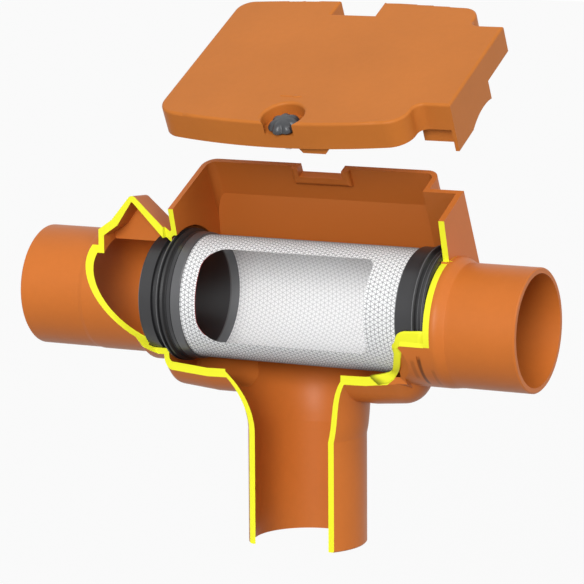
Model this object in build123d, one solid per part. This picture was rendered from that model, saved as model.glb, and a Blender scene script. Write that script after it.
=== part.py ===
from build123d import *
import math
import os

# Rainwater tank filter for a DN 110 roof drain line, made as a sectioned display
# model: the front of the moulded housing is cut away, so that the screen drum
# shows, and the lid is lifted off. X runs with the water, from the inlet end at
# X = 0 to the outlet end, Y runs to the back and Z is up. The origin is on the
# axis of the inlet spigot, at its end. Below, X is first measured from the axis
# of the drop pipe, and everything is moved to the inlet end when it is written.
# The inspection box and its lid lean forward: their directions are X, s (up the
# slope to the back) and n (square to the rim, through the drum axis).

# pipes
pipe_od = 110.0          # DN 110 drain pipe
pipe_wall = 5.0
inlet_reach = 264.0      # inlet end to the axis of the drop pipe
outlet_reach = 226.0     # drop pipe axis to the outlet end
outlet_fall = 9.0        # outlet axis below the inlet axis
spigot_round = 1.0       # rounding at the pipe ends
spigot_length = 61.0     # push-in length of the inlet spigot, up to a slight rise
spigot_rise = 0.6
drop_od = 107.0
drop_wall = 4.2
drop_reach = 218.0       # inlet axis down to the end of the drop pipe
drop_lean = 2.4          # drop pipe axis, towards the outlet

# funnel from the chamber floor into the drop pipe: depth, widening, shift back
funnel_mouth_depth = 62.0
funnel_mouth_widen = 17.0
funnel_mouth_shift = 8.5
funnel_mid_depth = 77.0
funnel_mid_widen = 8.2
funnel_mid_shift = 4.2
funnel_low_depth = 93.0
funnel_low_widen = 3.4
funnel_low_shift = 0.6
funnel_end_depth = 118.0

# inspection box and chamber
wall = 5.0
tilt = 27.0              # lean of the inspection box, degrees
box_left = 120.0         # box end at the inlet side, from the drop axis
box_right = 116.0        # end of the wide part at the outlet side
box_half_depth = 90.5
box_front_corner = 18.0
box_rear_corner = 13.0
rim_height = 88.5        # rim above the drum axis, on the lean
crease_height = 54.0     # below it the box walls slope in to the chamber
neck_length = 32.5       # narrow part of the box, over the outlet end
neck_room = 4.5          # half depth of the neck beyond the hubs of the drum
end_wall = 5.5           # wall at the outlet end of the neck
chamber_over = 6.0       # chamber end beyond the box at the inlet side
chamber_right = 122.0    # chamber end at the outlet side
chamber_left_round = 9.0
chamber_right_round = 22.0
floor_left = -82.0       # stations of the chamber floor
floor_right = 76.0
drum_room_ends = 12.5    # room and wall of the chamber round the drum, at each station
drum_room_left = 13.8
drum_room_right = 9.8
drum_room_saddle = 7.5
keel_round_ends = 38.0   # round of the keel below it
keel_round_right = 33.6
keel_round_saddle = 30.0
keel_depth_ends = 44.0   # centre of the keel round below the drum axis
keel_depth_left = 48.0
keel_depth_right = 51.8
keel_depth_saddle = 51.0

# collar that carries the outlet end of the drum, and its seating slot
collar_wall = 2.2        # collar beyond the seat of the drum
collar_bottom = 56.0     # outlet axis down to the underside of the collar
shoulder_length = 15.0   # from the collar down to the outlet spigot
saddle_wall = 2.7        # wall round the drum's seat in the collar
slot_start = 135.0
slot_width = 4.0
slot_depth = 1.6
slot_from = -58.0        # slot runs between these angles below the front
slot_to = -20.0

# socket for the drum at the inlet side, and the hump over it
socket_cone = 7.0        # length of the flare from pipe to socket
socket_wall = 4.7
hump_foot = -193.0
hump_foot_height = 59.0
hump_kink = -179.0
hump_kink_height = 68.7
hump_apex = -158.0
hump_apex_height = 95.0
hump_valley = -116.0
hump_valley_height = 56.0
hump_front = -48.0
hump_rear = -7.0
hump_fall = 3.5          # ridge falls to the back by this much
hump_ridge_round = 5.0

# rear niche for the fingers
niche_x = -1.0
niche_half = 22.0
niche_drop = 8.5
niche_cheek = 7.0
niche_depth = 5.0
niche_tall = 17.0

# section: where the front of the housing is cut away
cut_y = -33.0            # main section plane
cut_top = 49.0           # above it the box end walls are cut on a lean
lean_y = -6.0            # leaning cut: Y at the drum axis height
lean_slope = 0.30
lean_turn = 1.7          # degrees in plan
slant_x = -145.0         # slanted cut over the inlet spigot: X on the drum axis
slant_run = 0.7
step_y = -57.2           # shallow cut over the collar
step_top = -7.0
step_lean = 0.12
step_low = -33.0         # below it the cut over the collar runs out to the front
step_front = -80.0
keep_low = 60.0          # spigot and collar are kept down to this depth
bevel_low_at = (110.0, -51.2, -27.0)    # two bevels round the cut beside the collar
bevel_low_facing = (0.377, 0.772, 0.512)
bevel_high_at = (111.4, -53.8, -21.0)
bevel_high_facing = (0.492, 0.861, -0.116)

# screen drum
drum_radius = 55.5
screen_wall = 1.0
fit_gap = 0.3
ring_start = -140.0      # inlet end ring
ring_nose = 13.5
ring_groove = 5.5
groove_depth = 2.5
seal_width = 11.0
hub_width = 3.5
ring_grip = 12.5         # the end rings reach this far into the screen
hub_rise = 2.0           # hubs above the drum
seal_rise = 3.0          # inlet seal above the hubs
band_width = 9.0
ring_depth = 5.5         # drum surface down to the bore of the inlet ring
outlet_depth = 4.0       # and of the outlet ring
outlet_hub_start = 115.2
outlet_hub_width = 15.8
outlet_seal_width = 11.0
lip_rise = 2.5           # lip of the outlet seal above the hub
lip_width = 2.9
window_start = -82.0
window_end = 84.5
window_low = -37.0       # angles of the window, seen from the front
window_high = 60.0
window_round_left = 19.0
window_round_right = 9.0

# lid
lid_skirt = 26.0
lid_wall = 2.8
lid_plate = 4.0
lid_gap = 0.5
lid_edge_round = 2.5
lid_step_round = 9.0
front_bow = 12.5
rear_bow = 6.5
gasket_height = 1.5
gasket_width = 4.0
gasket_clear = 0.4
notch_depth = 13.5
plug_wall = 3.5
plug_foot = 46.5         # foot of the plug above the drum axis, on the lean
plug_front_foot = 50.0
plug_rear_s = 15.0
arch_gap = 1.0
tongue_start = 8.5       # tongue of the lid, from the knob axis
tongue_top = 34.0
tongue_foot = 22.0
tongue_drop = 8.0
tongue_wall = 9.0
lid_up = 132.0           # how far the lid is lifted off, up and back
lid_back = 77.5

# knob
knob_x = 4.5
knob_s = -96.0
knob_radius = 14.6
knob_height = 9.0
knob_lobes = 7
knob_edge = 1.4
recess_x = 3.0
recess_s = -92.5
recess_radius = 19.5
recess_depth = 12.5
cup_wall = 3.0
stem_radius = 5.0
stem_gap = 0.1
knob_seal_height = 1.7
knob_seal_width = 3.0
boss_wall = 3.5
boss_length = 6.0
arm_length = 24.0
arm_width = 13.0
stem_end_radius = 3.2    # thinner end of the stem, in the arm
arm_height = 4.0
nut_across = 8.4
nut_height = 5.2

pipe_r = pipe_od / 2
bore_r = pipe_r - pipe_wall
drop_r = drop_od / 2
box_end = box_right + neck_length
saddle_end = box_end - end_wall
chamber_start = -(box_left + chamber_over)
hub_radius = drum_radius + hub_rise
seal_radius = hub_radius + seal_rise
ring_bore = drum_radius - ring_depth
outlet_bore = drum_radius - outlet_depth
outlet_lip = hub_radius + lip_rise
saddle_r = hub_radius + fit_gap
collar_radius = saddle_r + collar_wall
neck_half_depth = hub_radius + neck_room
drum_round_ends = drum_radius + drum_room_ends
drum_round_left = drum_radius + drum_room_left
drum_round_right = drum_radius + drum_room_right
drum_round_saddle = drum_radius + drum_room_saddle
ring_r = drum_radius + 0.4
socket_bore = ring_r + fit_gap
socket_r = socket_bore + socket_wall
ca, sa = math.cos(math.radians(tilt)), math.sin(math.radians(tilt))


def tilted(x=0.0, s=0.0, n=0.0):
    """Plane of the leaning box, at a point given in its own directions."""
    return Plane(origin=(x, s * ca - n * sa, s * sa + n * ca),
                 x_dir=(1, 0, 0), z_dir=(0, -sa, ca))


def section_plane(x):
    """Plane square to X, with local x to the back and local y up."""
    return Plane(origin=(x, 0, 0), x_dir=(0, 1, 0), z_dir=(1, 0, 0))


def rod(r, x0, x1, z=0.0):
    return Pos((x0 + x1) / 2, 0, z) * Rot(0, 90, 0) * Cylinder(r, x1 - x0)


def revolved(points, z=0.0):
    """Solid turned about the line Y = 0, Z = z from points (x, radius)."""
    return Pos(0, 0, z) * revolve(Plane.XZ * make_face(Polyline(*points, close=True)), Axis.X, 360)


def side_of(point, normal):
    """Everything on the side of a plane that its normal points to."""
    return extrude(Plane(origin=point, z_dir=normal) * Rectangle(1600, 1600), 900)


def keel_face(x, big, small, deep):
    """Drum circle and keel circle joined by their outer tangents."""
    k = (big - small) / deep
    c = math.sqrt(1 - k * k)
    rt, lt = (big * c, -big * k), (-big * c, -big * k)
    rk, lk = (small * c, -deep - small * k), (-small * c, -deep - small * k)
    return section_plane(x) * make_face([
        ThreePointArc(rt, (0, big), lt), Line(lt, lk),
        ThreePointArc(lk, (0, -deep - small), rk), Line(rk, rt)])


def chamber(off):
    """Chamber round the drum with its keel floor, moved in by off."""
    stations = [
        (chamber_start + off, drum_round_ends, keel_round_ends, keel_depth_ends),
        (floor_left, drum_round_left, keel_round_ends, keel_depth_left),
        (floor_right, drum_round_right, keel_round_right, keel_depth_right),
        (chamber_right - off, drum_round_saddle, keel_round_saddle, keel_depth_saddle)]
    body = None
    for (xa, ba, sm_a, da), (xb, bb, sm_b, db) in zip(stations, stations[1:]):
        piece = loft([keel_face(xa, ba - off, sm_a - off, da), keel_face(xb, bb - off, sm_b - off, db)],
                     ruled=True)
        body = piece if body is None else body + piece
    body = fillet(body.faces().sort_by(Axis.X)[-1].edges(), chamber_right_round - off)
    return fillet(body.faces().sort_by(Axis.X)[0].edges(), chamber_left_round - off)


def funnel(off, top):
    """Round funnel from the chamber floor into the drop pipe."""
    def ring(depth, widen, back):
        return Pos(drop_lean - back, 0, -depth) * Circle(drop_r + widen - off)
    mouth = ring(funnel_mouth_depth, funnel_mouth_widen, funnel_mouth_shift)
    cone = loft([mouth, ring(funnel_mid_depth, funnel_mid_widen, funnel_mid_shift),
                 ring(funnel_low_depth, funnel_low_widen, funnel_low_shift),
                 ring(funnel_end_depth, 0, 0)])
    pipe = extrude(ring(funnel_end_depth, 0, 0), drop_reach - funnel_end_depth, dir=(0, 0, -1))
    return cone, pipe, extrude(mouth, funnel_mouth_depth - top)


def box_profile(off):
    """Cross-section of the wide box in the leaning directions."""
    s0, r = box_half_depth - off, drum_round_ends - off
    a = math.atan2(crease_height, s0) - math.acos(r / math.hypot(s0, crease_height))
    t = (r * math.cos(a), r * math.sin(a))
    top = rim_height + (1.0 if off else 0.0)
    poly = Polyline((s0, top), (s0, crease_height), t, (0, 0), (-t[0], t[1]),
                    (-s0, crease_height), (-s0, top), close=True)
    return make_face(poly) + Circle(r)


def along_x(face, x0, x1):
    """Extrude a face drawn in the directions s and n along X."""
    pl = Plane(origin=(x0, 0, 0), x_dir=(0, ca, sa), z_dir=(1, 0, 0))
    return extrude(pl * face, x1 - x0, dir=(1, 0, 0))


def box_plan(off):
    """Outline of the wide box on the lean, moved in by off."""
    xl, xr, hd = box_left - off, box_right - off, box_half_depth - off
    face = make_face(Polyline((-xl, -hd), (xr, -hd), (xr, hd), (-xl, hd), close=True))
    face = fillet(face.vertices().sort_by(Axis.Y)[:2], box_front_corner - off)
    return fillet(face.vertices().sort_by(Axis.Y)[-2:], box_rear_corner - off)


def wide_box(off):
    column = extrude(tilted(n=-box_half_depth) * box_plan(off), 2 * box_half_depth + rim_height)
    return along_x(box_profile(off), -(box_left - off), box_right - off) & column


def neck(off, x1):
    hd = neck_half_depth - off
    top = rim_height + (1.0 if off else 0.0)
    slab = make_face(Polyline((hd, top), (hd, 0), (-hd, 0), (-hd, top), close=True))
    return along_x(slab, box_right - 2 * box_rear_corner, x1)


def collar_face(x, up, down):
    """Round above the outlet axis, a little flatter below it."""
    upper = ThreePointArc((up, 0), (0, up), (-up, 0))
    lower = EllipticalCenterArc((0, 0), up, down, start_angle=180, arc_size=180)
    return section_plane(x) * Pos(0, -outlet_fall) * make_face([upper, lower])


def hump(off, y0, y1):
    """Roof shaped bulge over the inlet socket, a little lower at the back."""
    def profile(y, fall):
        k, top = off * 1.15, off * 1.4 + fall
        pts = [(hump_foot + k, 30), (hump_foot + k, hump_foot_height - off),
               (hump_kink + k, hump_kink_height - off), (hump_apex, hump_apex_height - top),
               (hump_valley - k, hump_valley_height - off), (hump_valley - k, 30)]
        return Plane(origin=(0, y, 0), x_dir=(1, 0, 0), z_dir=(0, -1, 0)) * make_face(
            Polyline(*pts, close=True))
    body = loft([profile(y0, 0), profile(y1, hump_fall)], ruled=True)
    ridge = body.edges().filter_by(lambda e: e.length > 0.8 * (y1 - y0)).sort_by(Axis.Z)[-1]
    return fillet(ridge, hump_ridge_round - off * 0.8)


# housing, outside
flare_start = ring_start - 3.0 - socket_cone
inlet_pipe = revolved([
    (-inlet_reach, 0), (-inlet_reach, pipe_r - spigot_round), (-inlet_reach + spigot_round, pipe_r),
    (-inlet_reach + spigot_length, pipe_r), (-inlet_reach + spigot_length + 4, pipe_r + spigot_rise),
    (flare_start, pipe_r + spigot_rise), (flare_start + socket_cone, socket_r), (chamber_start + 1, socket_r),
    (chamber_start + 1, 0)])
outlet_pipe = revolved([
    (saddle_end, 0), (saddle_end, pipe_r), (outlet_reach - spigot_round, pipe_r),
    (outlet_reach, pipe_r - spigot_round), (outlet_reach, 0)], -outlet_fall)
collar_up, collar_down = collar_radius - pipe_r, collar_bottom - pipe_r
collar = extrude(collar_face(chamber_right - 2 * wall, collar_radius, collar_bottom),
                 box_end + 2 - chamber_right + 2 * wall)
collar = collar + rod(saddle_r + saddle_wall, chamber_right - 2 * wall, box_end)
shoulder = loft([
    collar_face(box_end + 2, pipe_r + collar_up, pipe_r + collar_down),
    collar_face(box_end + 0.35 * shoulder_length, pipe_r + 0.86 * collar_up, pipe_r + 0.8 * collar_down),
    collar_face(box_end + 0.68 * shoulder_length, pipe_r + 0.24 * collar_up, pipe_r + 0.2 * collar_down),
    collar_face(box_end + shoulder_length, pipe_r - 0.4, pipe_r - 0.4)])
# low cone under the end of the shoulder, so that the spigot starts at a true circle
shoulder_rim = revolved([
    (box_end + 0.5 * shoulder_length, 0), (box_end + 0.5 * shoulder_length, pipe_r + 0.35),
    (box_end + shoulder_length, pipe_r), (box_end + shoulder_length, 0)], -outlet_fall)
drop_cone, drop_pipe, drop_neck = funnel(0, 20)
drop_pipe = chamfer(drop_pipe.faces().sort_by(Axis.Z)[0].edges(), spigot_round)

outer = wide_box(0) + neck(0, box_end) + chamber(0)
outer = outer + inlet_pipe + collar + shoulder + shoulder_rim + outlet_pipe
outer = outer + drop_neck + drop_cone + drop_pipe + hump(0, hump_front, hump_rear)

# rear niche: a pocket that bulges into the box below a notch in the rim
pocket_half = niche_half + niche_cheek
pocket = extrude(
    tilted(niche_x, box_half_depth - wall - niche_depth / 2 + 0.5, rim_height - niche_tall)
    * Rectangle(2 * pocket_half, niche_depth + 1), niche_tall)
inward = pocket.faces().sort_by(Axis((0, 0, 0), (0, ca, sa)))[0]
along_n = Axis((0, 0, 0), (0, -sa, ca))
sides = [e for e in inward.edges() if abs(e.center().X - niche_x) > 1]
foot = inward.edges().sort_by(along_n)[0]
pocket = fillet(sides + [foot], 0.7 * niche_depth)
notch = extrude(
    tilted(niche_x, box_half_depth - wall / 2, rim_height - niche_drop)
    * Rectangle(2 * niche_half, 4 * wall), niche_drop + 1)

# housing, inside
inner = wide_box(wall) + neck(wall, saddle_end) + chamber(wall)
inner = inner + rod(bore_r, -inlet_reach - 1, chamber_start + wall + 1)
inner = inner + rod(socket_bore, ring_start - fit_gap, chamber_start + wall + 1)
inner = inner + rod(saddle_r, chamber_right - wall - 8, saddle_end)
inner = inner + rod(bore_r, saddle_end - 1, outlet_reach + 1, -outlet_fall)
hollow_cone, hollow_pipe, hollow_neck = funnel(drop_wall, 25)
inner = inner + hollow_neck + hollow_cone + hollow_pipe
inner = inner + hump(wall, hump_front, hump_rear - wall)
housing = outer - inner + pocket - notch

# seating slot in the collar
slot_ring = rod(collar_radius + 4, slot_start, slot_start + slot_width, -outlet_fall) - rod(
    collar_radius - slot_depth, slot_start - 1, slot_start + slot_width + 1, -outlet_fall)
slot_mid = (slot_from + slot_to) / 2
slot_fan = extrude(section_plane(slot_start - 1) * Pos(0, -outlet_fall) * Rot(0, 0, 180 - slot_mid)
                   * make_face(Polyline(
                       (0, 0), (90, 90 * math.tan(math.radians((slot_to - slot_from) / 2))),
                       (90, -90 * math.tan(math.radians((slot_to - slot_from) / 2))), close=True)),
                   slot_width + 2)
housing = housing - (slot_ring & slot_fan)

# section: the slanted cut keeps the inlet spigot, above the drop pipe's side
far = 400.0
keep_inlet = side_of((slant_x, 0, 0), (-1, slant_run, -slant_run)) & Pos(0, 0, far - keep_low) * Box(
    3 * far, 3 * far, 2 * far)
# the collar is cut only shallowly, and the cut rounds up to it from the main plane
keep_collar = extrude(section_plane(0) * make_face(Polyline(
    (step_y, step_top), (step_y - step_lean * (step_top - step_low), step_low), (step_front, -keep_low),
    (step_front, -far), (0, -far), (0, step_top), close=True)), saddle_end + 1)
keep_collar = keep_collar & side_of(bevel_low_at, bevel_low_facing) & side_of(bevel_high_at, bevel_high_facing)
front = Pos((-far + saddle_end) / 2, cut_y - far / 2, cut_top - far / 2) * Box(saddle_end + far, far, far)
front = front - keep_inlet - keep_collar
left_top = Pos((-far + chamber_start + 1) / 2, cut_y - far / 2, far / 2) * Box(
    far + chamber_start + 1, far, far) - keep_inlet

# above, the end walls of the box are cut on a lean, round the outlet spigot
outlet_round = rod(collar_radius, saddle_end - 2, far, -outlet_fall)
y_top = lean_y - lean_slope * cut_top
lean_face = make_face(Polyline(
    (y_top, cut_top), (lean_y - lean_slope * far, far), (-2 * far, far), (-2 * far, cut_top), close=True))
top_cut = Rot(0, 0, lean_turn) * extrude(section_plane(-1.5 * far) * lean_face, 3 * far)
top_cut = top_cut & Pos(far + chamber_start, 0, 0) * Box(2 * far, 4 * far, 3 * far)
end_face = extrude(section_plane(saddle_end - 0.01) * make_face(Polyline(
    (step_y + 0.6, step_top - 13), (step_y + 0.6, step_top), (-30, 10), (y_top, 20), (y_top, cut_top),
    (-far, cut_top), (-far, -33), (step_y - 2.5, -33), close=True)), end_wall + 1)
housing = housing - front - left_top - (top_cut - outlet_round) - (end_face - outlet_round)
solids = sorted(housing.solids(), key=lambda q: q.volume)
print("housing solids", [round(q.volume) for q in solids])
housing = solids[-1]

# screen drum with its window
nose_end = ring_start + ring_nose
seal_start = nose_end + ring_groove
hub_start = seal_start + seal_width
hub_end = hub_start + hub_width
screen_start = hub_end + 2.0
outlet_hub_end = outlet_hub_start + outlet_hub_width
screen_end = outlet_hub_start + 3.0
screen_in = drum_radius - screen_wall
screen = rod(drum_radius, screen_start, screen_end) - rod(screen_in, screen_start - 1, screen_end + 1)
wl = window_end - window_start
span = math.radians(window_high - window_low)
mid = math.radians((window_high + window_low) / 2)
flat = 2 * drum_radius * math.sin(span / 2)
win_plane = Plane(origin=((window_start + window_end) / 2, 0, 0), x_dir=(1, 0, 0),
                  z_dir=(0, -math.cos(mid), math.sin(mid)))
win = Rectangle(wl, flat)
win = fillet(win.vertices().sort_by(Axis.X)[:2], window_round_left)
win = fillet(win.vertices().sort_by(Axis.X)[-2:], window_round_right)
screen = screen - extrude(win_plane * win, 80)

# end rings of the drum, their rubber seals and the steel band
groove_r = drum_radius - groove_depth
seat_r = drum_radius - 1.2
in_r = screen_in - 0.2
inlet_ring = revolved([
    (ring_start, ring_bore), (ring_start, ring_r - 1.2), (ring_start + 1.2, ring_r), (nose_end - 0.5, ring_r),
    (nose_end, groove_r), (seal_start, groove_r), (seal_start, seat_r), (hub_start, seat_r),
    (hub_start, hub_radius), (hub_end, hub_radius), (hub_end, drum_radius),
    (screen_start - 0.2, drum_radius), (screen_start - 0.2, in_r), (hub_end + ring_grip, in_r),
    (hub_end + ring_grip - 6, ring_bore)])
sw = seal_width
inlet_seal = revolved([
    (seal_start + 0.4, seat_r + 0.2), (seal_start + 0.4, seal_radius - 2.2),
    (seal_start + 0.18 * sw, seal_radius - 0.2), (seal_start + 0.33 * sw, seal_radius),
    (seal_start + 0.4 * sw, seal_radius - 2.6), (seal_start + 0.53 * sw, seal_radius - 2.8),
    (seal_start + 0.62 * sw, seal_radius + 0.1), (seal_start + 0.76 * sw, seal_radius - 0.2),
    (seal_start + 0.85 * sw, seal_radius - 3), (hub_start - 0.3, seal_radius - 3),
    (hub_start - 0.3, seat_r + 0.2)])
band_end = hub_end + 0.3 + band_width
band = revolved([
    (hub_end + 0.3, drum_radius + 0.2), (hub_end + 0.3, hub_radius - 0.2), (hub_end + 0.9, hub_radius + 0.3),
    (band_end - 0.6, hub_radius - 0.1), (band_end, hub_radius - 0.8), (band_end, drum_radius + 0.2)])
oring_end = outlet_hub_end + outlet_seal_width + 0.4
outlet_ring = revolved([
    (outlet_hub_start, drum_radius + 0.2), (outlet_hub_start, hub_radius - 0.6),
    (outlet_hub_start + 0.6, hub_radius), (outlet_hub_end, hub_radius), (outlet_hub_end, seat_r + 1),
    (oring_end, seat_r + 1), (oring_end, outlet_bore), (outlet_hub_start - 2.2, outlet_bore),
    (outlet_hub_start - 7.2, in_r), (screen_end + 0.2, in_r), (screen_end + 0.2, drum_radius + 0.2)])
ls = outlet_hub_end + 0.3
ow = outlet_seal_width
outlet_seal = revolved([
    (ls, seat_r + 1.2), (ls, hub_radius + 0.05), (ls + lip_width, hub_radius - 0.1),
    (ls + lip_width + 0.6, seat_r + 1.9), (ls + 0.46 * ow, seat_r + 1.9), (ls + 0.52 * ow, hub_radius - 0.6),
    (ls + 0.64 * ow, hub_radius - 0.6), (ls + 0.7 * ow, hub_radius - 1.1), (ls + 0.81 * ow, hub_radius - 1.1),
    (ls + 0.88 * ow, hub_radius - 0.3), (ls + 0.99 * ow, hub_radius - 0.5), (ls + 0.99 * ow, seat_r + 1.2)])
# the lip is squeezed in the saddle and stands proud where the neck is open
lip_side = neck_half_depth - wall - fit_gap
lip_foot = math.sqrt(outlet_lip ** 2 - lip_side ** 2) + 1.5
lip = revolved([(ls, hub_radius - 1), (ls, outlet_lip - 0.4), (ls + 0.4, outlet_lip),
                (ls + 0.8 * lip_width, outlet_lip), (ls + lip_width, outlet_lip - 0.8),
                (ls + lip_width, hub_radius - 1)])
lip = lip & extrude(tilted(ls, 0, lip_foot) * Rectangle(40, 2 * lip_side), 80)
outlet_seal = outlet_seal + lip

# lid, drawn closed on the box and then lifted
over = lid_wall + lid_gap
lid_top = rim_height + gasket_height + lid_plate
lid_bottom = lid_top - lid_skirt
plate_under = lid_top - lid_plate


def lid_outline(off):
    """Outline of the lid on the lean, moved in by off."""
    xl, xr, xe = box_left + over - off, box_right + over - off, box_end + over - off
    hd, nd = box_half_depth + over - off, neck_half_depth + over - off
    edges = [
        Line((-xl, -hd), (-xl, hd)), ThreePointArc((-xl, hd), (0, hd + rear_bow), (xr, hd)),
        Line((xr, hd), (xr, nd)), Line((xr, nd), (xe, nd)), Line((xe, nd), (xe, -nd)),
        Line((xe, -nd), (xr, -nd)), Line((xr, -nd), (xr, -hd)),
        ThreePointArc((xr, -hd), (0, -hd - front_bow), (-xl, -hd))]
    face = make_face(edges)
    wide = [v for v in face.vertices() if abs(abs(v.Y) - hd) < 1e-3]
    face = fillet([v for v in wide if v.Y < 0], box_front_corner + over - off)
    wide = [v for v in face.vertices() if abs(v.Y - hd) < 1e-3 and abs(v.X) > box_right * 0.9]
    face = fillet(wide, box_rear_corner + over - off)
    steps = [v for v in face.vertices() if abs(abs(v.Y) - nd) < 1e-3 and abs(v.X - xr) < 1e-3]
    return fillet(steps, lid_step_round + off)


def notch_plan(grow):
    """Notch in the rear of the lid, over the finger niche."""
    s0 = box_half_depth - notch_depth - lid_gap - grow
    return Pos(niche_x, s0 + 25) * Rectangle(2 * (niche_half + grow), 50)


plate = lid_outline(0) - notch_plan(0)
lid = extrude(tilted(n=lid_bottom) * plate, lid_skirt)
lid = lid - extrude(tilted(n=lid_bottom - 1) * (lid_outline(lid_wall) - notch_plan(lid_wall)),
                    lid_skirt - lid_plate + 1)

# recess for the knob, open through the front skirt, with a boss for the stem
floor_n = lid_top - recess_depth
cup_n = floor_n - cup_wall
cup_r = recess_radius + cup_wall
cup = extrude(tilted(recess_x, recess_s, cup_n) * Circle(cup_r), lid_top - lid_edge_round - cup_n)
cup = cup & extrude(tilted(n=lid_bottom) * plate, lid_skirt)
boss_n = cup_n - boss_length
boss = extrude(tilted(knob_x, knob_s, boss_n) * Circle(stem_radius + boss_wall), boss_length + 1)
recess = extrude(tilted(recess_x, recess_s, floor_n) * Circle(recess_radius), recess_depth + 1)

# end plate with its arch over the outlet ring, and the tongue beside the knob
plug_x = box_end + over - plug_wall
plug_front_s = -(neck_half_depth + over)
plug_span = plug_rear_s - plug_front_s
plug = extrude(tilted(plug_x + plug_wall / 2, plug_front_s + plug_span / 2, plug_foot)
               * Rectangle(plug_wall, plug_span), plate_under + 1 - plug_foot)
front_len = plug_x - box_right
front_s = -(neck_half_depth - wall - lid_gap - plug_wall / 2)
plug_front = extrude(tilted(box_right + front_len / 2, front_s, plug_front_foot)
                     * Rectangle(front_len, plug_wall), plate_under + 1 - plug_front_foot)
tongue_face = make_face(Polyline(
    (0, plate_under + 1), (tongue_top, plate_under + 1), (tongue_top, lid_bottom),
    ((tongue_top + tongue_foot) / 2, lid_bottom - tongue_drop),
    ((tongue_top - tongue_foot) / 2, lid_bottom - tongue_drop), (0, lid_bottom), close=True))
tongue_plane = Plane(origin=(knob_x + tongue_start, knob_s * ca, knob_s * sa), x_dir=(1, 0, 0),
                     z_dir=(0, -ca, -sa))
tongue = extrude(tongue_plane * tongue_face, tongue_wall / 2, both=True)
lid = lid + cup + tongue - recess + plug + plug_front + boss
lid = lid - rod(collar_radius + arch_gap, box_right + over, far, -outlet_fall)
lid = lid - extrude(tilted(knob_x, knob_s, boss_n - 1) * Circle(stem_radius + stem_gap), 40)
lid = fillet(lid.faces().sort_by(along_n)[-1].edges(), lid_edge_round)
lid = sorted(lid.solids(), key=lambda q: q.volume)[-1]


def gasket_plan(off):
    """Outline of the rim for the gasket, clear of the notch and of the knob's cup."""
    hd, nd, xe = box_half_depth - off, neck_half_depth - off, box_end - off
    over_neck = Pos((xe + box_right / 2) / 2, 0) * Rectangle(xe - box_right / 2, 2 * nd)
    return (box_plan(off) + over_neck - notch_plan(lid_wall + gasket_clear + off)
            - Pos(recess_x, recess_s) * Circle(cup_r + gasket_clear + off))


gasket_off = (wall - gasket_width) / 2
gasket = extrude(tilted(n=rim_height) * (gasket_plan(gasket_off) - gasket_plan(gasket_off + gasket_width)),
                 gasket_height)
gasket = gasket - extrude(tilted(knob_x + tongue_start + tongue_top / 2, knob_s, rim_height - 1) * Rectangle(
    tongue_top + 2 * gasket_clear, tongue_wall + 2 * gasket_clear), 4)
gasket = gasket - extrude(tilted(plug_x + plug_wall / 2, plug_front_s + plug_span / 2, rim_height - 1)
                          * Rectangle(plug_wall + 2 * gasket_clear, plug_span + 2 * gasket_clear), 4)
gasket = gasket - extrude(tilted(box_right + front_len / 2, front_s, rim_height - 1)
                          * Rectangle(front_len + 2, plug_wall + 2 * gasket_clear), 4)

# knob with its stem, seal, latch arm and nut
lobe_r = knob_radius * 0.27
profile = Circle(knob_radius - lobe_r * 0.8)
for i in range(knob_lobes):
    t = 2 * math.pi * i / knob_lobes
    profile = profile + Pos((knob_radius - lobe_r) * math.cos(t),
                            (knob_radius - lobe_r) * math.sin(t)) * Circle(lobe_r)
head_n = floor_n + knob_seal_height + fit_gap
knob = extrude(tilted(knob_x, knob_s, head_n) * profile, knob_height)
knob = chamfer(knob.faces().sort_by(along_n)[-1].edges(), knob_edge)
arm_n = boss_n - fit_gap - arm_height
stem_n = arm_n + arm_height
knob = knob + extrude(tilted(knob_x, knob_s, stem_n) * Circle(stem_radius), head_n - stem_n + 1)
knob = knob + extrude(tilted(knob_x, knob_s, arm_n) * Circle(stem_end_radius), arm_height + 1)
knob_seal = extrude(tilted(knob_x, knob_s, floor_n) * (
    Circle(stem_radius + fit_gap + knob_seal_width) - Circle(stem_radius + fit_gap)), knob_seal_height)
arm = extrude(tilted(knob_x, knob_s + (arm_length - arm_width) / 2, arm_n)
              * SlotOverall(arm_length, arm_width, rotation=90), arm_height)
arm = arm - extrude(tilted(knob_x, knob_s, arm_n - 1) * Circle(stem_end_radius + stem_gap), arm_height + 2)
nut = extrude(tilted(knob_x, knob_s, arm_n - nut_height)
              * RegularPolygon(nut_across / 2, 6, major_radius=False), nut_height)

shift = Pos(inlet_reach, 0, 0)
lift = Pos(inlet_reach, lid_back, lid_up)
nodes = {
    "housing": shift * housing,
    "screen_tube": shift * screen,
    "inlet_end_ring": shift * inlet_ring,
    "inlet_seal": shift * inlet_seal,
    "screen_band": shift * band,
    "outlet_end_ring": shift * outlet_ring,
    "outlet_seal": shift * outlet_seal,
    "lid": lift * lid,
    "lid_gasket": lift * gasket,
    "lid_knob": lift * knob,
    "knob_seal": lift * knob_seal,
    "latch_arm": lift * arm,
    "arm_nut": lift * nut,
}
os.makedirs("parts", exist_ok=True)
for name, shape in nodes.items():
    solids = shape.solids()
    print(name, len(solids), round(sum(q.volume for q in solids)))
    export_step(shape if len(solids) > 1 else solids[0], f"parts/{name}.step")
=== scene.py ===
"""Looks of the cutaway rainwater tank filter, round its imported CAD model."""

import math

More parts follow.
